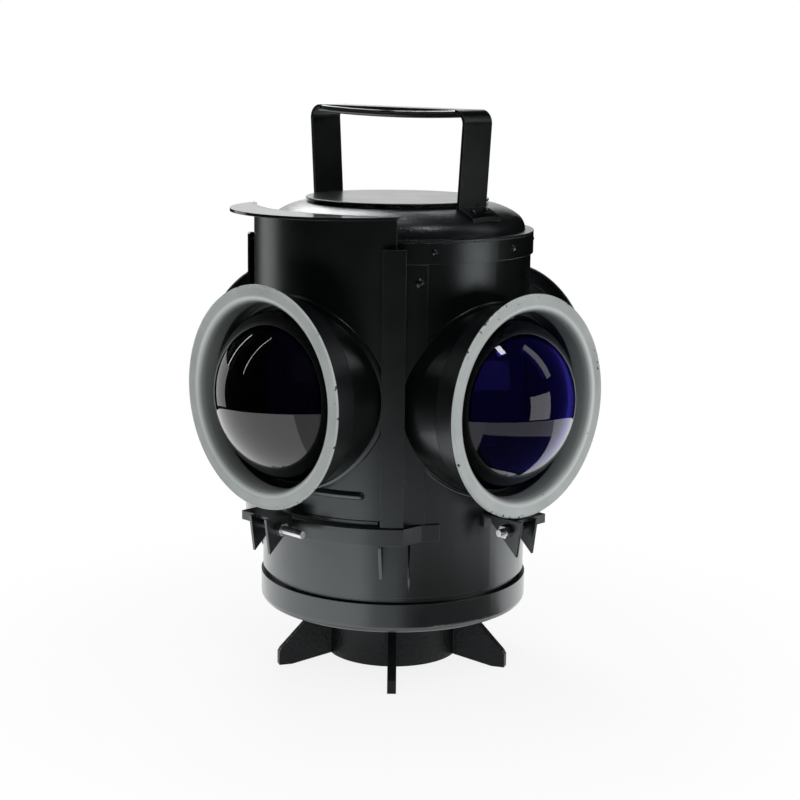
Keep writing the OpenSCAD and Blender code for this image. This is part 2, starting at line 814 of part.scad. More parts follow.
// Nuts on the bolts, against the second ear
module bracket_nuts() {
    color("#c9ccce") for (az = concat(door_az, lens_az)) rotate([0, 0, az]) scale_side(-bracket_hand(az))
        translate([bolt_at, -ear_y - seat, bolt_z]) rotate([90, 0, 0]) difference() {
            hexagon(nut_w, nut_t);
            translate([0, 0, -1]) cylinder(r = bolt_r + 0.05, h = nut_t + 2);
        }
}

// Oil lamp

// The raised ring on the pan's floor that centres the fount
module fount_holder() {
    color("#2a2c2e") ring(fount_r + slide, fount_r + slide + sheet, base_h + sheet + seat, fount_z + 8);
}

// The oil fount: a hollow round can with a sloping shoulder and a hole for the burner
module oil_fount() {
    slope_z = fount_top - fount_slope_h;
    neck_r = fount_r - fount_slope_w;
    color("#8c7a4a") rotate_extrude() difference() {
        polygon([[0, fount_z], [fount_r, fount_z], [fount_r, slope_z], [neck_r, fount_top], [0, fount_top]]);
        polygon([[-1, fount_z + fount_wall], [fount_r - fount_wall, fount_z + fount_wall],
            [fount_r - fount_wall, slope_z - fount_wall / 2], [neck_r - fount_wall / 2, fount_top - fount_wall],
            [-1, fount_top - fount_wall]]);
        translate([-1, fount_z + fount_h / 2]) square([burner_in + 1, fount_h]);
    }
}

// The filler cap on the fount's shoulder
module filler_cap() {
    cap_at = (burner_flange + fount_r - fount_slope_w) / 2;
    color("#a08a52") translate([0, cap_at, fount_top + seat]) union() {
        cylinder(r = 7, h = 5);
        translate([0, 0, 5 - lap]) cylinder(r = 5.5, h = 2.5);
    }
}

// The burner: a brass collar, a tapering body and a flat tube for the wick, with a spindle hole
module burner() {
    tube_w = wick_w + 2 * slot_clear;
    tube_d = wick_t + 2 * slot_clear;
    wheel_room = wheel_r + 2 * slot_clear;
    color("#a68a4c") difference() {
        rotate_extrude() polygon([[0, burner_z], [burner_flange, burner_z], [burner_flange, burner_z + 5],
            [burner_out, burner_z + 7], [burner_out, burner_z + 0.7 * burner_h], [burner_in, burner_top], [0, burner_top]]);
        translate([-tube_w / 2, -tube_d / 2, burner_z - 1]) cube([tube_w, tube_d, burner_h + 2]);
        translate([-tube_w / 2, 0, spindle_z - wheel_room])
            cube([tube_w, spindle_y + wheel_room, 2 * wheel_room]);
        translate([0, spindle_y, spindle_z]) rotate([0, 90, 0]) cylinder(r = spindle_r + 0.06, h = 2 * burner_out);
    }
}

// The flat woven wick that hangs down into the oil
module wick() {
    below = fount_h - 12;
    color("#d8d0bc") translate([-wick_w / 2, -wick_t / 2, fount_top - below])
        cube([wick_w, wick_t, below + burner_h + 5]);
}

// The spindle that winds the wick: two small wheels, a shaft and a knurled knob
module wick_spindle() {
    inside = 0.4 * wick_w;
    knob_t = 4;
    color("#b4955a") translate([0, spindle_y, spindle_z]) rotate([0, 90, 0]) union() {
        translate([0, 0, -inside]) cylinder(r = spindle_r, h = inside + burner_out + spindle_len);
        for (x = [-1, 1]) translate([0, 0, x * (inside - 2) - 1]) cylinder(r = wheel_r, h = 2);
        translate([0, 0, burner_out + spindle_len - knob_t]) difference() {
            cylinder(r = knob_r, h = knob_t);
            for (i = [0 : 11]) rotate([0, 0, 30 * i]) translate([knob_r + 0.4, 0, -1]) cylinder(r = 1.1, h = knob_t + 2);
        }
    }
}

spider_base();
base_pan();
body_drum();
lid_skirt();
lid_dome();
vent_cap();
cap_spacers();
lid_screws();
handle();
handle_rivets();
guide_right();
guide_left();
guide_rivets();
door_strap();
strap_gussets();
door_sill();
right_hood();
right_bezel();
right_lens_seat();
right_gasket();
right_lens();
right_clips();
rear_hood();
rear_bezel();
rear_lens_seat();
rear_gasket();
rear_lens();
rear_clips();
left_hood();
left_bezel();
left_lens_seat();
left_gasket();
left_lens();
left_clips();
door_bracket();
right_bracket();
rear_bracket();
left_bracket();
bracket_bolts();
bracket_nuts();
fount_holder();
oil_fount();
filler_cap();
burner();
wick();
wick_spindle();
door_panel();
door_lip();
door_hood();
door_bezel();
door_lens_seat();
door_gasket();
door_lens();
door_clips();
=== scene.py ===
"""A railway switch lamp: its CAD solids dressed with paint, glass and fittings, and the studio round it."""
import json
import math

import bmesh
import bpy
import numpy as np
from mathutils import Matrix, Vector

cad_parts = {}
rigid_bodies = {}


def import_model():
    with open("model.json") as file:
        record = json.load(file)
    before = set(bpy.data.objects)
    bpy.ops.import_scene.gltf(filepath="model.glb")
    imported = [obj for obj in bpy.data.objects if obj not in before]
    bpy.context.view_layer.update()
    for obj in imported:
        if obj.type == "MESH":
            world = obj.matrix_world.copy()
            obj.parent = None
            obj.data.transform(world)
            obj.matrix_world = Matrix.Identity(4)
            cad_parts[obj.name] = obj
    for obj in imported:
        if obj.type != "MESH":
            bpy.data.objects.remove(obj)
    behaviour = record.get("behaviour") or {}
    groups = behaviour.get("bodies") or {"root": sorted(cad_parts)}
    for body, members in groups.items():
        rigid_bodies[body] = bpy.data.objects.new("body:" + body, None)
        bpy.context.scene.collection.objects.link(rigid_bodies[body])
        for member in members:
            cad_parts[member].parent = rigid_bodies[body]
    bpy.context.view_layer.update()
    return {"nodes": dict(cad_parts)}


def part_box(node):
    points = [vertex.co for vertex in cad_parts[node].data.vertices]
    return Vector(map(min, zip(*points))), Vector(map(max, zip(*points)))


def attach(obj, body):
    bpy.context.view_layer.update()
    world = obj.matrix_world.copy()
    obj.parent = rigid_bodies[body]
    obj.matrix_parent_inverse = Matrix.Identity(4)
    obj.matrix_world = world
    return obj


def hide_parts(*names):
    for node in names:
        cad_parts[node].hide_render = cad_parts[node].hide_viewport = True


for thing in list(bpy.data.objects):
    bpy.data.objects.remove(thing)
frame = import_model()
nodes = frame["nodes"]


# The studio: a white floor that keeps the lamp's shadow and runs out into a white surround.
# Cameras, reflections and glass see it white, and other rays see a plain grey room.

def seen_directly(tree):
    """1 for rays from the camera, from a gloss or through glass, and 0 for the rest."""
    path = tree.nodes.new("ShaderNodeLightPath")
    seen = path.outputs["Is Camera Ray"]
    for kind in ("Is Glossy Ray", "Is Transmission Ray"):
        either = tree.nodes.new("ShaderNodeMath")
        either.operation = "MAXIMUM"
        tree.links.new(seen, either.inputs[0])
        tree.links.new(path.outputs[kind], either.inputs[1])
        seen = either.outputs[0]
    return seen


def floor_material(shadow_r, white_r):
    """A pale matt floor that turns to plain white between two distances from the lamp."""
    mat = bpy.data.materials.new("studio_floor")
    mat.use_nodes = True
    tree = mat.node_tree
    new = tree.nodes.new
    link = tree.links.new
    matt = tree.nodes["Principled BSDF"]
    matt.inputs["Base Color"].default_value = (0.86, 0.86, 0.86, 1)
    matt.inputs["Roughness"].default_value = 0.8
    matt.inputs["Specular IOR Level"].default_value = 0.1
    away = new("ShaderNodeVectorMath")
    away.operation = "LENGTH"
    link(new("ShaderNodeTexCoord").outputs["Object"], away.inputs[0])
    whiten = new("ShaderNodeMapRange")
    whiten.interpolation_type = "SMOOTHSTEP"
    whiten.inputs["From Min"].default_value = shadow_r
    whiten.inputs["From Max"].default_value = white_r
    whiten.inputs["To Min"].default_value = 0.86
    link(away.outputs["Value"], whiten.inputs["Value"])
    share = new("ShaderNodeMath")
    share.operation = "MULTIPLY"
    link(seen_directly(tree), share.inputs[0])
    link(whiten.outputs["Result"], share.inputs[1])
    glow = new("ShaderNodeEmission")
    mix = new("ShaderNodeMixShader")
    link(share.outputs[0], mix.inputs[0])
    link(matt.outputs[0], mix.inputs[1])
    link(glow.outputs[0], mix.inputs[2])
    link(mix.outputs[0], tree.nodes["Material Output"].inputs["Surface"])
    return mat


def stage_sheet(name, rows, mat):
    """A sheet between two rows of points, part of the studio."""
    points = np.concatenate(rows)
    n = len(rows[0])
    k = np.arange(n - 1)
    mesh = bpy.data.meshes.new(name)
    mesh.from_pydata(points.tolist(), [], np.stack([k, k + 1, k + 1 + n, k + n], -1).tolist())
    sheet = bpy.data.objects.new(name, mesh)
    sheet.data.materials.append(mat)
    bpy.context.scene.collection.objects.link(sheet)
    return sheet


floor_half = 12.0
floor_rows = [np.array([(-floor_half, y, 0), (floor_half, y, 0)]) for y in (-floor_half, floor_half)]
stage_sheet("floor", floor_rows, floor_material(0.1, 0.42))

world = bpy.data.worlds.new("surround")
bpy.context.scene.world = world
world.use_nodes = True
shade = world.node_tree.nodes.new("ShaderNodeMix")
shade.data_type = "RGBA"
shade.inputs["A"].default_value = (0.3, 0.31, 0.32, 1)
shade.inputs["B"].default_value = (1, 1, 1, 1)
world.node_tree.links.new(seen_directly(world.node_tree), shade.inputs["Factor"])
world.node_tree.links.new(shade.outputs["Result"], world.node_tree.nodes["Background"].inputs["Color"])


# The lamps: soft boxes placed by the way they look from the lantern, each with its own brightness.
# A fill lamp lights the bezels from the front and doesn't show in the glass.

def soft_box(name, turn, rise, away, size, bright, in_gloss=True):
    """A soft box that faces the lantern from a turn, a rise and a distance, and is as bright as it says."""
    light = bpy.data.lights.new(name, "AREA")
    light.shape = "RECTANGLE"
    light.size = size[0]
    light.size_y = size[1]
    light.energy = bright * math.pi * size[0] * size[1]
    lamp = bpy.data.objects.new(name, light)
    turn = math.radians(turn)
    rise = math.radians(rise)
    out = Vector((math.cos(rise) * math.cos(turn), math.cos(rise) * math.sin(turn), math.sin(rise)))
    middle = Vector((0, 0, 0.2))
    facing = out.to_track_quat("Z", "Y").to_matrix().to_4x4()
    lamp.matrix_world = Matrix.Translation(middle + out * away) @ facing
    lamp.visible_camera = False
    lamp.visible_glossy = in_gloss
    bpy.context.scene.collection.objects.link(lamp)


soft_box("high_left_box", 149, 42, 1.4, (0.55, 0.65), 8)
soft_box("right_window", 44, 34, 1.5, (0.22, 0.9), 1.4)
soft_box("right_spot", -3, 62, 1.3, (0.14, 0.24), 14)
soft_box("left_strip_near", -128, 34, 1.5, (0.03, 1.1), 6)
soft_box("left_strip_far", -160, 22, 1.5, (0.035, 0.8), 6)
soft_box("front_fill", -36, 38, 1.8, (1.6, 1.2), 2.3, in_gloss=False)


# Cards that only reflections see, as a photographer sets them round a glossy black product: black ones
# # round the table and on the camera's side, a nearly black one on the floor near the lamp that paints the
# # lamp's shadow into what the glass reflects, and grey ones that draw soft upright bands.

def card_material(name, glow):
    """An even glow, black where it is zero."""
    mat = bpy.data.materials.new(name)
    mat.use_nodes = True
    tree = mat.node_tree
    even = tree.nodes.new("ShaderNodeEmission")
    even.inputs["Strength"].default_value = glow
    tree.links.new(even.outputs[0], tree.nodes["Material Output"].inputs["Surface"])
    return mat


def reflected_card(name, turns, radii, heights, glow, steps=73):
    """A card bent round the lamp's axis between two turns, from a radius and height to another pair."""
    turn = np.radians(np.linspace(*turns, steps))
    rows = [np.stack([r * np.cos(turn), r * np.sin(turn), np.full(steps, z)], -1)
            for r, z in zip(radii, heights)]
    card = stage_sheet(name, rows, card_material(name, glow))
    card.visible_camera = False
    card.visible_diffuse = False
    card.visible_shadow = False
    card.visible_transmission = False


reflected_card("table_edge_card", (-180, 180), (0.7, 0.7), (0.001, 0.3), 0)
reflected_card("front_card", (-186, 122), (2.4, 2.4), (0.0, 3.2), 0)
reflected_card("canopy_card", (-186, 122), (2.4, 0.25), (3.2, 3.4), 0)
reflected_card("bright_floor_card", (-180, 180), (0.12, 0.7), (0.0005, 0.0005), 1.8)
reflected_card("grey_floor_card", (-62, -38), (0.15, 0.7), (0.001, 0.001), 0.8)
# A nearly black card on the floor near the lamp: the lamp's shadow, painted into what the glass reflects.
reflected_card("painted_floor_shadow_card", (-38, 42), (0.15, 0.4), (0.001, 0.001), 0.02)
reflected_card("far_floor_card", (-38, 42), (0.4, 0.7), (0.001, 0.001), 0.7)
reflected_card("left_band_card", (-176, -150), (0.69, 0.69), (0.02, 0.32), 1.1)
reflected_card("right_band_card", (8, 34), (0.69, 0.69), (0.02, 0.28), 1.8)


# The camera: a short telephoto that stands a little above the lamp and looks down on it, midway between
# the door's lens and the right-hand one.

camera_reach = 1.207
camera_turn = math.radians(-45.06)
camera_height = 0.4173
camera_pan = math.radians(-0.167)
camera_tilt = math.radians(10.974)
camera_roll = math.radians(0.726)
camera_data = bpy.data.cameras.new("camera")
camera_data.sensor_width = 36
camera_data.lens = 79.97
camera = bpy.data.objects.new("camera", camera_data)
heading = camera_turn + camera_pan
ahead = Vector((-math.cos(heading) * math.cos(camera_tilt), -math.sin(heading) * math.cos(camera_tilt),
                -math.sin(camera_tilt)))
level = ahead.cross(Vector((0, 0, 1))).normalized()
rise = level.cross(ahead)
across = level * math.cos(camera_roll) + rise * math.sin(camera_roll)
upward = rise * math.cos(camera_roll) - level * math.sin(camera_roll)
view = Matrix((across, upward, -ahead)).transposed().to_4x4()
place = (camera_reach * math.cos(camera_turn), camera_reach * math.sin(camera_turn), camera_height)
camera.matrix_world = Matrix.Translation(place) @ view
bpy.context.scene.collection.objects.link(camera)
bpy.context.scene.camera = camera
bpy.context.scene.view_settings.view_transform = "Standard"


# The cast base: an iron spider of five legs round a socket, which drops over the switch stand's spindle.
# It is sand cast, left rough, and brushed with thick black paint.

def painted_metal(name, colour, rough, rough_spread, grain, grain_depth, gloss, edge=0.0005, bare_and_sheen_tone=0.05):
    """Paint over metal: a mottled colour, uneven gloss, and a grain that bumps it.

    Where the rounded normal leaves the flat one, at an edge, the colour turns lighter in patches: partly
    paint rubbed a little bare, partly a painted highlight along the edge."""
    mat = bpy.data.materials.new(name)
    mat.use_nodes = True
    tree = mat.node_tree
    new = tree.nodes.new
    link = tree.links.new
    shader = tree.nodes["Principled BSDF"]
    where = new("ShaderNodeTexCoord").outputs["Object"]
    mottle = new("ShaderNodeTexNoise")
    mottle.inputs["Scale"].default_value = 45
    mottle.inputs["Detail"].default_value = 4
    link(where, mottle.inputs["Vector"])
    tone = new("ShaderNodeMix")
    tone.data_type = "RGBA"
    tone.inputs["A"].default_value = (*[c * 0.8 for c in colour], 1)
    tone.inputs["B"].default_value = (*[min(1, c * 1.25) for c in colour], 1)
    link(mottle.outputs["Fac"], tone.inputs["Factor"])
    soft_edge = new("ShaderNodeBevel")
    soft_edge.samples = 4
    soft_edge.inputs["Radius"].default_value = edge
    flatness = new("ShaderNodeVectorMath")
    flatness.operation = "DOT_PRODUCT"
    link(soft_edge.outputs["Normal"], flatness.inputs[0])
    link(new("ShaderNodeNewGeometry").outputs["Normal"], flatness.inputs[1])
    # Lighter edges: partly worn paint, partly a painted highlight along each edge.
    rubbed_and_highlit_edge = new("ShaderNodeMapRange")
    rubbed_and_highlit_edge.inputs["From Min"].default_value = 0.98
    rubbed_and_highlit_edge.inputs["From Max"].default_value = 0.8
    link(flatness.outputs["Value"], rubbed_and_highlit_edge.inputs["Value"])
    patchy = new("ShaderNodeMath")
    patchy.operation = "MULTIPLY"
    link(rubbed_and_highlit_edge.outputs["Result"], patchy.inputs[0])
    link(mottle.outputs["Fac"], patchy.inputs[1])
    worn_and_highlit = new("ShaderNodeMix")
    worn_and_highlit.data_type = "RGBA"
    worn_and_highlit.inputs["B"].default_value = (bare_and_sheen_tone, bare_and_sheen_tone * 1.02, bare_and_sheen_tone * 1.04, 1)
    link(patchy.outputs[0], worn_and_highlit.inputs["Factor"])
    link(tone.outputs["Result"], worn_and_highlit.inputs["A"])
    link(worn_and_highlit.outputs["Result"], shader.inputs["Base Color"])
    gleam = new("ShaderNodeMapRange")
    gleam.inputs["To Min"].default_value = rough - rough_spread
    gleam.inputs["To Max"].default_value = rough + rough_spread
    link(mottle.outputs["Fac"], gleam.inputs["Value"])
    link(gleam.outputs["Result"], shader.inputs["Roughness"])
    pebble = new("ShaderNodeTexNoise")
    pebble.inputs["Scale"].default_value = grain
    pebble.inputs["Detail"].default_value = 2
    link(where, pebble.inputs["Vector"])
    bump = new("ShaderNodeBump")
    bump.inputs["Strength"].default_value = 1.0
    bump.inputs["Distance"].default_value = grain_depth
    link(pebble.outputs["Fac"], bump.inputs["Height"])
    link(soft_edge.outputs["Normal"], bump.inputs["Normal"])
    link(bump.outputs["Normal"], shader.inputs["Normal"])
    shader.inputs["Specular IOR Level"].default_value = gloss
    shader.inputs["Specular Tint"].default_value = (0.9, 0.98, 1.0, 1)
    return mat


def dress(mat, *names):
    """Gives CAD nodes a material in place of their plain one."""
    for name in names:
        nodes[name].data.materials.clear()
        nodes[name].data.materials.append(mat)


cast_paint = painted_metal("cast_black_paint", (0.004, 0.0043, 0.0046), 0.42, 0.1, 350, 0.0005, 0.25, 0.0012)
dress(cast_paint, "spider_base")


# The pan and the drum: sheet steel, the pan pressed and the drum rolled and closed by a lapped upright seam.
# Both are soldered together and stoved with satin black enamel.

black_enamel = painted_metal("satin_black_enamel", (0.0015, 0.0018, 0.002), 0.3, 0.06, 900, 0.00005, 0.9,
                             bare_and_sheen_tone=0.12)
dress(black_enamel, "base_pan", "body_drum")


def grid_piece(name, points, body, mat, closed_u=False, closed_v=False):
    """A mesh from an array of points, rows by columns, welded where they meet, smooth, on one CAD body."""
    rows, cols = points.shape[:2]
    u = np.arange(rows if closed_u else rows - 1)
    v = np.arange(cols if closed_v else cols - 1)
    i, j = np.meshgrid(u, v, indexing="ij")
    ni = (i + 1) % rows
    nj = (j + 1) % cols
    faces = np.stack([i * cols + j, ni * cols + j, ni * cols + nj, i * cols + nj], -1).reshape(-1, 4)
    mesh = bpy.data.meshes.new(name)
    mesh.from_pydata(points.reshape(-1, 3).tolist(), [], faces.tolist())
    welded = bmesh.new()
    welded.from_mesh(mesh)
    bmesh.ops.remove_doubles(welded, verts=welded.verts, dist=1e-7)
    bmesh.ops.recalc_face_normals(welded, faces=welded.faces)
    welded.to_mesh(mesh)
    welded.free()
    mesh.polygons.foreach_set("use_smooth", np.ones(len(mesh.polygons), bool))
    piece = bpy.data.objects.new(name, mesh)
    piece.data.materials.append(mat)
    bpy.context.scene.collection.objects.link(piece)
    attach(piece, body)
    return piece


def wall_strip(wall_r, turn, half_w, rise, z_low, z_high, steps=25):
    """A closed strip up a round wall: its section is a flat oval, half in the wall, of a width and a rise."""
    s = np.linspace(0, 2 * np.pi, steps, endpoint=False)
    offset = half_w * np.sign(np.cos(s)) * np.abs(np.cos(s)) ** 0.4
    r = wall_r + rise * np.sin(s)
    turns = math.radians(turn) + offset / wall_r
    z = np.array([z_low, z_low, z_high, z_high])[:, None]
    grow = np.array([0, 1, 1, 0])[:, None]
    r = wall_r + (r - wall_r) * grow
    turns = math.radians(turn) + (turns - math.radians(turn)) * grow
    return np.stack(np.broadcast_arrays(r * np.cos(turns), r * np.sin(turns), z), -1)


drum_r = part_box("body_drum")[1].x
pan_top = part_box("base_pan")[1].z
strap_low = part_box("door_strap")[0].z
groove = 0.0045
strap_clear = 0.0005
seam_turn = -38.5
seam_half = 0.0007
seam_rise = 0.0002
seam = wall_strip(drum_r, seam_turn, seam_half, seam_rise, pan_top + groove, strap_low - strap_clear)
grid_piece("drum_seam", seam, "lantern", black_enamel, closed_v=True)


# The oil lamp inside: a spun brass fount with a burner and a winder screwed to it, and a woven cotton wick.
# It stands in a black holder on the drum's floor.

def plain_metal(name, colour, rough, scratch):
    """Bare metal with fine scratches that vary its tone and its gloss."""
    mat = bpy.data.materials.new(name)
    mat.use_nodes = True
    tree = mat.node_tree
    new = tree.nodes.new
    link = tree.links.new
    shader = tree.nodes["Principled BSDF"]
    shader.inputs["Metallic"].default_value = 1.0
    where = new("ShaderNodeTexCoord").outputs["Object"]
    grain = new("ShaderNodeTexNoise")
    grain.inputs["Scale"].default_value = scratch
    grain.inputs["Detail"].default_value = 5
    link(where, grain.inputs["Vector"])
    tone = new("ShaderNodeMix")
    tone.data_type = "RGBA"
    tone.inputs["A"].default_value = (*[c * 0.75 for c in colour], 1)
    tone.inputs["B"].default_value = (*colour, 1)
    link(grain.outputs["Fac"], tone.inputs["Factor"])
    link(tone.outputs["Result"], shader.inputs["Base Color"])
    gleam = new("ShaderNodeMapRange")
    gleam.inputs["To Min"].default_value = rough - 0.08
    gleam.inputs["To Max"].default_value = rough + 0.08
    link(grain.outputs["Fac"], gleam.inputs["Value"])
    link(gleam.outputs["Result"], shader.inputs["Roughness"])
    soft_edge = new("ShaderNodeBevel")
    soft_edge.samples = 4
    soft_edge.inputs["Radius"].default_value = 0.0004
    link(soft_edge.outputs["Normal"], shader.inputs["Normal"])
    return mat


def woven_cotton():
    """A plain weave: a fine check that bumps and tints an off-white yarn."""
    mat = bpy.data.materials.new("woven_cotton")
    mat.use_nodes = True
    tree = mat.node_tree
    shader = tree.nodes["Principled BSDF"]
    shader.inputs["Roughness"].default_value = 0.95
    shader.inputs["Sheen Weight"].default_value = 0.3
    where = tree.nodes.new("ShaderNodeTexCoord").outputs["Object"]
    check = tree.nodes.new("ShaderNodeTexChecker")
    check.inputs["Scale"].default_value = 1600
    check.inputs["Color1"].default_value = (0.78, 0.73, 0.6, 1)
    check.inputs["Color2"].default_value = (0.55, 0.5, 0.4, 1)
    tree.links.new(where, check.inputs["Vector"])
    tree.links.new(check.outputs["Color"], shader.inputs["Base Color"])
    bump = tree.nodes.new("ShaderNodeBump")
    bump.inputs["Distance"].default_value = 0.0003
    tree.links.new(check.outputs["Fac"], bump.inputs["Height"])
    tree.links.new(bump.outputs["Normal"], shader.inputs["Normal"])
    return mat


brass = plain_metal("dull_brass", (0.62, 0.45, 0.17), 0.38, 120)
dress(brass, "oil_fount", "filler_cap", "burner", "wick_spindle")
dress(black_enamel, "fount_holder")
dress(woven_cotton(), "wick")


# The lid: a pressed steel dome in an orange-peel black, on a skirt band that is screwed round the drum.
# A smooth flat rain cap stands over its vent on short studs.

crackle_black = painted_metal("crackle_black_enamel", (0.006, 0.0065, 0.007), 0.3, 0.08, 800, 0.0002, 0.8)
cap_black = painted_metal("cap_black_enamel", (0.006, 0.0065, 0.007), 0.22, 0.05, 700, 0.00001, 0.6)
dress(crackle_black, "lid_dome")
dress(cap_black, "vent_cap", "cap_spacers")
dress(black_enamel, "lid_skirt", "lid_screws")


# The handle: a steel strip bent to a U, with the edges of its grip rolled so that they don't cut the hand.
# Its turned-out feet are riveted to the dome.

dress(black_enamel, "handle", "handle_rivets")


# The door's guides, its strap, gussets and sill: folded steel strip in the drum's enamel.
# The guides are riveted and the rest is soldered to the drum.

dress(black_enamel, "guide_right", "guide_left", "guide_rivets", "door_strap", "strap_gussets", "door_sill")


# The lens hoods and the seats inside them: rolled steel tubes, fitted to the round of the drum or the door.
# They are soldered there, with a rounded fillet at the root.

sides = {"right": 0, "rear": 90, "left": 180, "door": -90}
lens_body = {"right": "lantern", "rear": "lantern", "left": "lantern", "door": "door"}
hood_low, hood_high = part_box("right_hood")
hood_r = (hood_high.z - hood_low.z) / 2
door_r = 0.0967
fillet_w = 0.0022
fillet_h = 0.0011
fillet_out = 0.0006


def middle_height(node):
    """Half way between a node's lowest and highest points."""
    low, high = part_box(node)
    return (low.z + high.z) / 2


def solder_fillet(wall_r, turn, axis_z):
    """A low rounded bead carried along the curve where a hood's tube meets a round wall."""
    t = np.linspace(0, 2 * np.pi, 192, endpoint=False)[:, None]
    s = np.linspace(0, 2 * np.pi, 16, endpoint=False)[None, :]
    reach = hood_r + fillet_out + fillet_w * np.cos(s)
    y = reach * np.cos(t)
    z = reach * np.sin(t)
    x = np.sqrt(wall_r ** 2 - y ** 2) + fillet_h * np.sin(s)
    a = math.radians(turn)
    return np.stack([x * math.cos(a) - y * math.sin(a), x * math.sin(a) + y * math.cos(a), z + axis_z], -1)


for side, turn in sides.items():
    dress(black_enamel, f"{side}_hood", f"{side}_lens_seat")
    wall_r = door_r if side == "door" else drum_r
    bead = solder_fillet(wall_r, turn, middle_height(f"{side}_bezel"))
    grid_piece(f"{side}_hood_fillet", bead, lens_body[side], black_enamel, closed_u=True,
               closed_v=True)


# The bezels: spun steel rings that sleeve over the hoods, with a flared throat and a rolled rim.
# They are painted pale grey on the face and in the throat and black behind, and are nicked along the rim.
# A lighter ring where the face turns into the throat is a painted highlight, and the throat's darker grey is
# painted shade.

face_grey = (0.44, 0.47, 0.455, 1)
throat_shade_grey = (0.22, 0.24, 0.23, 1)
flare_highlight_grey = (0.62, 0.65, 0.63, 1)
back_black = (0.005, 0.0055, 0.006, 1)
flare_r = 0.0055
bezel_t = 0.0013
face_w = 0.0052
bead_r = 0.0013
bead_proud = 0.00015


def chipped_grey(name, axis, axis_z, rim_r, mouth):
    """Pale paint on the flare's front, black behind it, and dark nicks where a fine noise is high.
    A painted highlight lightens the flare's shoulder, and painted shade darkens the throat.

    A point's depth in the flare is its distance from the line that the flare is rolled about: it is the
    flare's radius on the front and less by the sheet's thickness on the back."""
    mat = painted_metal(name, face_grey[:3], 0.36, 0.08, 500, 0.00006, 0.5, bare_and_sheen_tone=0.7)
    tree = mat.node_tree
    new = tree.nodes.new
    link = tree.links.new
    shader = tree.nodes["Principled BSDF"]
    paint = shader.inputs["Base Color"].links[0].from_socket

    def vector(operation, first, second):
        """A vector node that combines a socket with a constant."""
        step = new("ShaderNodeVectorMath")
        step.operation = operation
        link(first, step.inputs[0])
        step.inputs[1].default_value = second
        return step.outputs["Value" if operation in ("LENGTH", "DOT_PRODUCT") else "Vector"]

    def ramp(value, low, high, to_low=0.0, to_high=1.0):
        """A value carried from one range to another and held at its ends."""
        step = new("ShaderNodeMapRange")
        link(value, step.inputs["Value"])
        step.inputs["From Min"].default_value = low
        step.inputs["From Max"].default_value = high
        step.inputs["To Min"].default_value = to_low
        step.inputs["To Max"].default_value = to_high
        return step.outputs["Result"]

    def blend(factor, first, second):
        """A mix from a colour socket to a constant colour."""
        step = new("ShaderNodeMix")
        step.data_type = "RGBA"
        link(factor, step.inputs["Factor"])
        link(first, step.inputs["A"])
        step.inputs["B"].default_value = second
        return step.outputs["Result"]

    where = new("ShaderNodeTexCoord").outputs["Object"]
    centred = vector("SUBTRACT", where, (0, 0, axis_z))
    along = vector("DOT_PRODUCT", centred, axis)
    away = vector("LENGTH", vector("MULTIPLY", centred, [1 - abs(part) for part in axis]), (0, 0, 0))
    rolled_at = rim_r - bead_r - face_w
    inward = ramp(away, rolled_at - 1, rolled_at, 1, 0)
    forward = ramp(along, mouth - flare_r, mouth - flare_r + 1)
    pair = new("ShaderNodeCombineXYZ")
    link(inward, pair.inputs["X"])
    link(forward, pair.inputs["Y"])
    depth = vector("LENGTH", pair.outputs["Vector"], (0, 0, 0))
    back_from = flare_r - bezel_t
    nick = new("ShaderNodeTexNoise")
    nick.inputs["Scale"].default_value = 260
    nick.inputs["Detail"].default_value = 2
    link(where, nick.inputs["Vector"])
    both = new("ShaderNodeMath")
    both.operation = "ADD"
    link(nick.outputs["Fac"], both.inputs[0])
    link(ramp(away, rim_r - 0.005, rim_r, 0, 0.12), both.inputs[1])
    # Painted highlight: the flare's shoulder is lightened. Painted shade: the throat is darkened towards the
    # lens.
    tone = blend(ramp(inward, 0.0002, 0.0016), paint, flare_highlight_grey)
    tone = blend(ramp(inward, 0.0022, 0.0046), tone, throat_shade_grey)
    tone = blend(ramp(both.outputs[0], 0.75, 0.765), tone, (0.02, 0.02, 0.02, 1))
    tone = blend(ramp(depth, back_from, back_from + 0.0002, 1, 0), tone, back_black)
    link(tone, shader.inputs["Base Color"])
    return mat


for side, turn in sides.items():
    bezel_low, bezel_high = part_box(f"{side}_bezel")
    axis = (round(math.cos(math.radians(turn))), round(math.sin(math.radians(turn))), 0)
    reach = max(abs(bezel_low.dot(Vector(axis))), abs(bezel_high.dot(Vector(axis))))
    grey = chipped_grey(f"chipped_grey_{side}", axis, middle_height(f"{side}_bezel"),
                        (bezel_high.z - bezel_low.z) / 2, reach - bead_proud)
    dress(grey, f"{side}_bezel")


# The bull's-eye lenses: thick moulded glass, smoky clear fore and aft and deep violet to the sides,
# bedded on rubber and held by three bent clips.

def moulded_glass(name, colour, rough):
    """Stained glass with the faint ripple of a mould."""
    mat = bpy.data.materials.new(name)
    mat.use_nodes = True
    tree = mat.node_tree
    new = tree.nodes.new
    link = tree.links.new
    shader = tree.nodes["Principled BSDF"]
    shader.inputs["Base Color"].default_value = (*colour, 1)
    shader.inputs["Transmission Weight"].default_value = 1.0
    shader.inputs["IOR"].default_value = 1.52
    ripple = new("ShaderNodeTexNoise")
    ripple.inputs["Scale"].default_value = 30
    link(new("ShaderNodeTexCoord").outputs["Object"], ripple.inputs["Vector"])
    bump = new("ShaderNodeBump")
    bump.inputs["Distance"].default_value = 0.0001
    link(ripple.outputs["Fac"], bump.inputs["Height"])
    link(bump.outputs["Normal"], shader.inputs["Normal"])
    gleam = new("ShaderNodeMapRange")
    gleam.inputs["To Min"].default_value = rough
    gleam.inputs["To Max"].default_value = rough + 0.02
    link(ripple.outputs["Fac"], gleam.inputs["Value"])
    link(gleam.outputs["Result"], shader.inputs["Roughness"])
    return mat


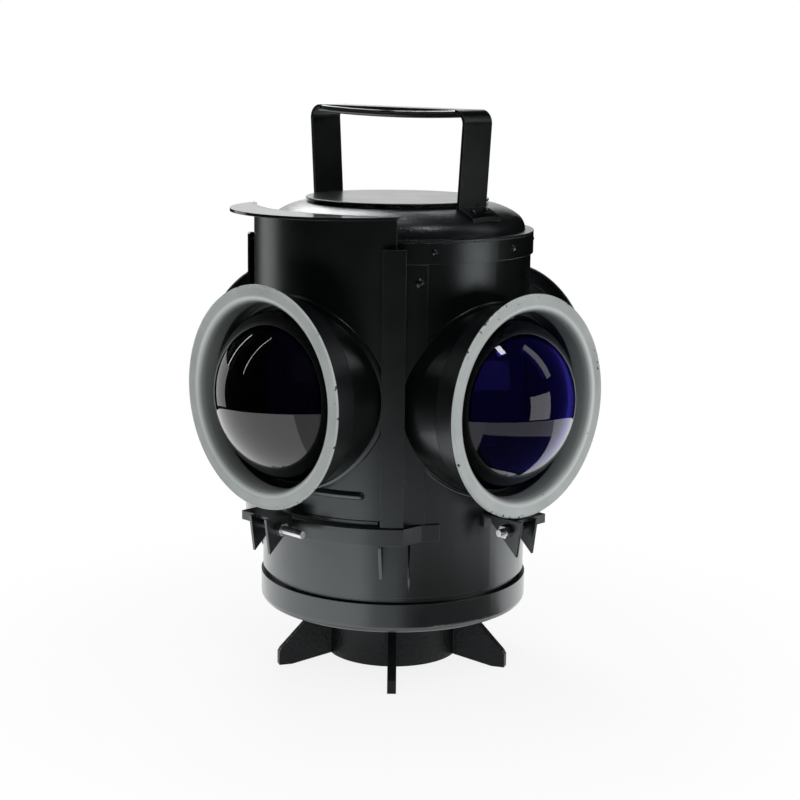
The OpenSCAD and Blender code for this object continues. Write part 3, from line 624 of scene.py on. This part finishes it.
clear_glass = moulded_glass("smoky_moulded_glass", (0.011, 0.0115, 0.012), 0.005)
violet_glass = moulded_glass("violet_moulded_glass", (0.022, 0.018, 0.2), 0.005)
ball_r = 0.062
skirt_r = 0.0544
shoulder_r = 0.0015
hollow_r = 0.047
glass_t = 0.0055
flange_t = 0.003
corner = 0.0002


def bulls_eye(node, turn):
    """A profile turned round the lens's axis.

    Outside, it is a ball's cap, a rounded shoulder, a skirt and the flange. Inside, it is a round hole that
    ends in a smaller ball's cap about the same point."""
    low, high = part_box(node)
    axis = np.array([round(math.cos(math.radians(turn))), round(math.sin(math.radians(turn))), 0])
    back, apex = sorted([float(axis @ np.array(low)), float(axis @ np.array(high))])
    edge_r = (high.z - low.z) / 2
    ball_at = apex - ball_r
    hollow_ball = ball_r - glass_t
    shoulder = math.asin((skirt_r - shoulder_r) / (ball_r - shoulder_r))
    cap = np.linspace(0, shoulder, 64)
    bend = np.linspace(shoulder, math.pi / 2, 9)[1:]
    bend_at = ball_at + (ball_r - shoulder_r) * math.cos(shoulder)
    inside = np.linspace(math.asin(hollow_r / hollow_ball), 0, 48)
    front = back + flange_t
    foot_r = [skirt_r, skirt_r + corner, edge_r - corner, edge_r, edge_r, edge_r - corner, hollow_r + corner,
              hollow_r]
    foot_a = [front + corner, front, front, front - corner, back + corner, back, back, back + corner]
    r = np.concatenate([ball_r * np.sin(cap), skirt_r + shoulder_r * (np.sin(bend) - 1), foot_r,
                        hollow_ball * np.sin(inside)])
    a = np.concatenate([ball_at + ball_r * np.cos(cap), bend_at + shoulder_r * np.cos(bend), foot_a,
                        ball_at + hollow_ball * np.cos(inside)])
    t = np.linspace(0, 2 * np.pi, 144, endpoint=False)[:, None]
    y = r * np.cos(t)
    z = middle_height(node) + r * np.sin(t)
    x = np.broadcast_to(a, y.shape)
    return np.stack([x * axis[0] - y * axis[1], x * axis[1] + y * axis[0], z], -1)


for side, turn in sides.items():
    if side in ("right", "left"):
        tint = violet_glass
    else:
        tint = clear_glass
    dome = bulls_eye(f"{side}_lens", turn)
    glass = grid_piece(f"{side}_lens_glass", dome, lens_body[side], tint, closed_u=True)
    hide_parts(f"{side}_lens")

gasket_rubber = painted_metal("gasket_rubber", (0.015, 0.015, 0.015), 0.75, 0.05, 900, 0.00005, 0.3)
dress(gasket_rubber, *[f"{side}_gasket" for side in sides])
clip_steel = plain_metal("blackened_clip_steel", (0.2, 0.205, 0.21), 0.36, 300)
dress(clip_steel, *[f"{side}_clips" for side in sides])


# The door: a curved steel panel with wired edges that run in the guides, in the drum's enamel.
# A crescent lip, smoother than the rest, is soldered to its top to lift it by.

lip_black = painted_metal("lip_black_enamel", (0.006, 0.0065, 0.007), 0.15, 0.03, 700, 0.000008, 0.9)
dress(black_enamel, "door_panel")
dress(lip_black, "door_lip")


# The brackets under the lenses: bent steel plate with two ears, soldered to the drum and enamelled with it.
# Their bolts and nuts are bright zinc, and the long bolts show a rolled thread.

zinc = plain_metal("bright_zinc", (0.72, 0.73, 0.74), 0.3, 400)
dress(black_enamel, "door_bracket", "right_bracket", "rear_bracket", "left_bracket")
dress(zinc, "bracket_bolts", "bracket_nuts")
bolt_reach = 0.113
bolt_z = middle_height("bracket_nuts")
bolt_r = 0.0024
thread_from = 0.0128
thread_to = 0.0304
thread_pitch = 0.0008
thread_rise = 0.00028
thread_half_w = 0.42 * thread_pitch
thread_sink = 0.00003


def rolled_thread(turn):
    """A small ridge carried along a helix round a bolt, fading in and out at its ends."""
    turns = (thread_to - thread_from) / thread_pitch
    t = np.linspace(0, 1, int(turns * 24))[:, None]
    s = np.linspace(0, 2 * np.pi, 4, endpoint=False)[None, :]
    fade = np.clip(np.minimum(t, 1 - t) * turns * 2, 0, 1)
    angle = 2 * np.pi * turns * t
    r = bolt_r - thread_sink + fade * thread_rise * np.cos(s)
    along = thread_from + (thread_to - thread_from) * t + fade * thread_half_w * np.sin(s)
    x = bolt_reach + r * np.cos(angle)
    z = bolt_z + r * np.sin(angle)
    a = math.radians(turn)
    return np.stack([x * math.cos(a) - along * math.sin(a), x * math.sin(a) + along * math.cos(a), z], -1)


for side in ("door", "rear"):
    thread = rolled_thread(sides[side])
    grid_piece(f"{side}_bolt_thread", thread, "lantern", zinc, closed_v=True)
